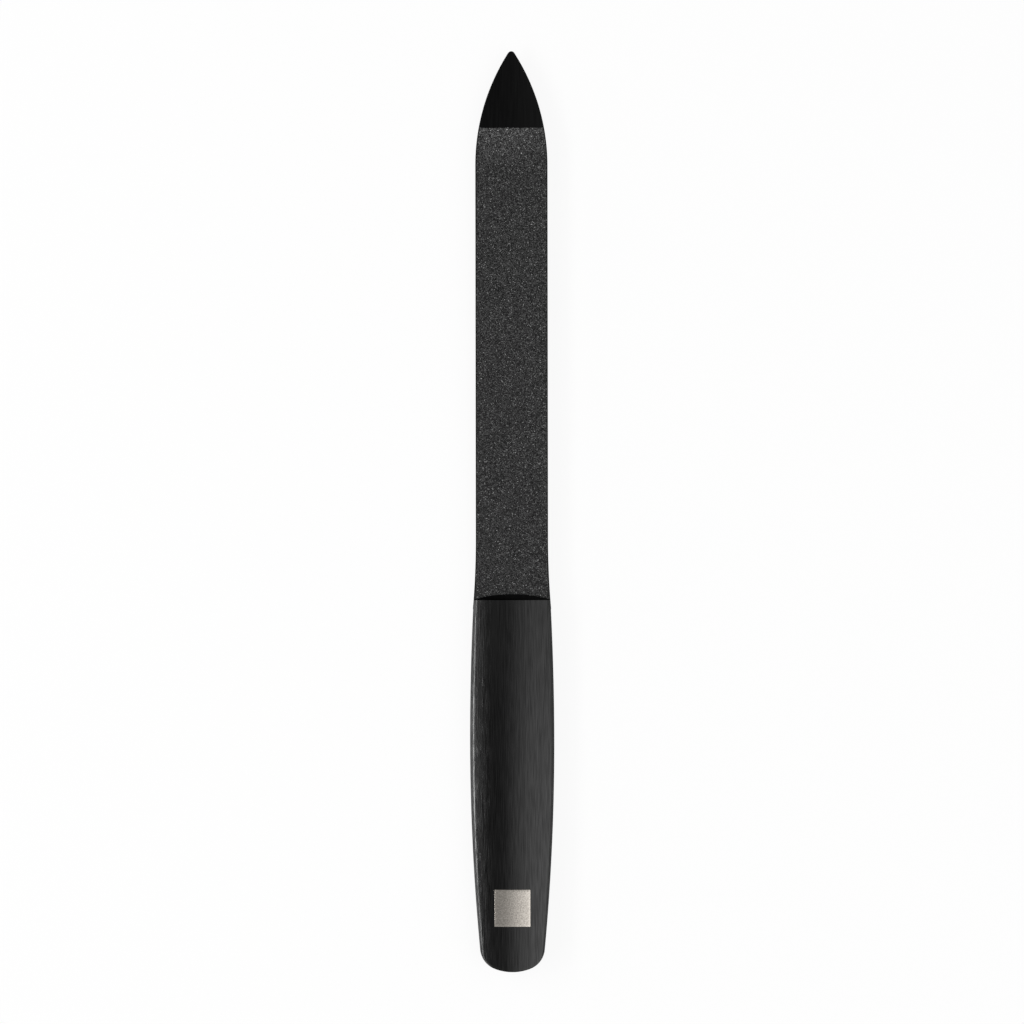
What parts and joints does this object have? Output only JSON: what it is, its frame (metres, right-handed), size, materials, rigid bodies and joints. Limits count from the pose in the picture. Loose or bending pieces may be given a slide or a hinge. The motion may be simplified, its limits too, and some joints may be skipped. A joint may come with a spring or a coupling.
{
  "type": "nail file",
  "caption": "Long flat nail file: steel blade with sapphire grit on both faces, a bare pointed cleaner tip, and a slim domed black steel handle.",
  "frame": {"origin": "centre of the bounding box's base: halfway along the file, on its middle line, in the plane of the flat land that it lies on", "axes": "+Y along the file to its point, +Z out of the front face, +X to the right of someone who looks at the front face with the point up"},
  "size_m": [0.0146, 0.16, 0.0045],
  "materials": {
    "bare_steel": "black coated stainless steel, fine satin, near black where it is bare of grit",
    "sapphire_grit": "bonded grains of dark corundum, matt with small glints",
    "black_steel": "black coated steel brushed along its length, satin",
    "bright_steel": "uncoated stainless steel, fine satin"
  },
  "bodies": {
    "root": {"file_blade": "bare_steel", "front_grit_coat": "sapphire_grit", "back_grit_coat": "sapphire_grit", "front_handle_half": "black_steel", "back_handle_half": "black_steel", "front_dowel_pin": "bright_steel", "rear_dowel_pin": "bright_steel"}
  },
  "joints": []
}
